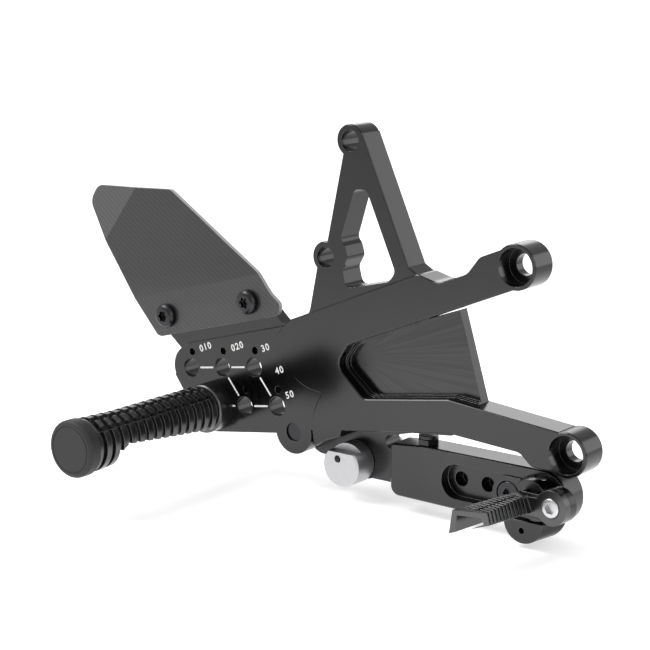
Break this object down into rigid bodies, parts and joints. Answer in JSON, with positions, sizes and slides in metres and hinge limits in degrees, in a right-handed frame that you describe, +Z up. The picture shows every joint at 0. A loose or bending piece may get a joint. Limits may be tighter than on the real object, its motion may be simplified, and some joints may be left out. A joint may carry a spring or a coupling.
{
  "type": "motorcycle rear set footrest",
  "caption": "Machined rear set plate with a ribbed footpeg, a folded heel guard and a pivoting brake lever with a folding toe piece.",
  "frame": {"origin": "centre of the upper frame bolt hole, on the back face that seats against the motorcycle frame", "axes": "+X forward along the motorcycle, +Y inward to the motorcycle (the bolts leave towards -Y), +Z up"},
  "size_m": [0.2679, 0.1258, 0.1556],
  "materials": {
    "anodised_black": "satin black anodised, machined all over",
    "peg_black": "glossy black anodised",
    "knob_black": "matt turned end knob",
    "carbon_twill": "lacquered twill-weave composite sheet",
    "black_screw": "black oxide",
    "plain_steel": "bright, lightly turned",
    "bush_bronze": "plain bearing bronze",
    "bright_trunnion": "turned, satin"
  },
  "bodies": {
    "bracket": {"main_bracket": "anodised_black", "lobe_screw": "black_screw", "heel_guard": "carbon_twill", "heel_guard_screws": "black_screw", "footpeg": "peg_black", "footpeg_knob": "knob_black", "footpeg_bolt": "black_screw", "footpeg_washer": "plain_steel", "footpeg_index_pin": "plain_steel", "lever_pivot_bolt": "black_screw", "lever_thrust_washer": "plain_steel"},
    "lever": {"brake_lever": "anodised_black", "lever_bushing": "bush_bronze", "stop_screw": "black_screw", "stop_locknut": "black_screw", "toe_carrier": "anodised_black", "toe_carrier_screw": "black_screw", "toe_hinge_pin": "plain_steel"},
    "trunnion": {"pushrod_trunnion": "bright_trunnion", "trunnion_clip": "plain_steel"},
    "toe_piece": {"toe_arm": "anodised_black", "toe_bush": "plain_steel", "toe_pad": "anodised_black", "toe_pad_bolt": "plain_steel"}
  },
  "joints": [
    {"name": "brake_lever_pivot", "type": "hinge", "parent": "bracket", "child": "lever", "pos_m": [-0.0705, 0.0063, -0.069], "axis": [0, 1, 0], "range_deg": [0, 5], "stiffness_Nm_per_rad": 2, "springref_deg": -17.19},
    {"name": "pushrod_trunnion_swivel", "type": "hinge", "parent": "lever", "child": "trunnion", "pos_m": [-0.0835, 0.0063, -0.0935], "axis": [0, 1, 0], "range_deg": [-15, 15]},
    {"name": "toe_piece_fold", "type": "hinge", "parent": "lever", "child": "toe_piece", "pos_m": [0.012, -0.01, -0.0905], "axis": [0, 0, -1], "range_deg": [0, 55], "stiffness_Nm_per_rad": 0.05, "springref_deg": -20.05}
  ]
}
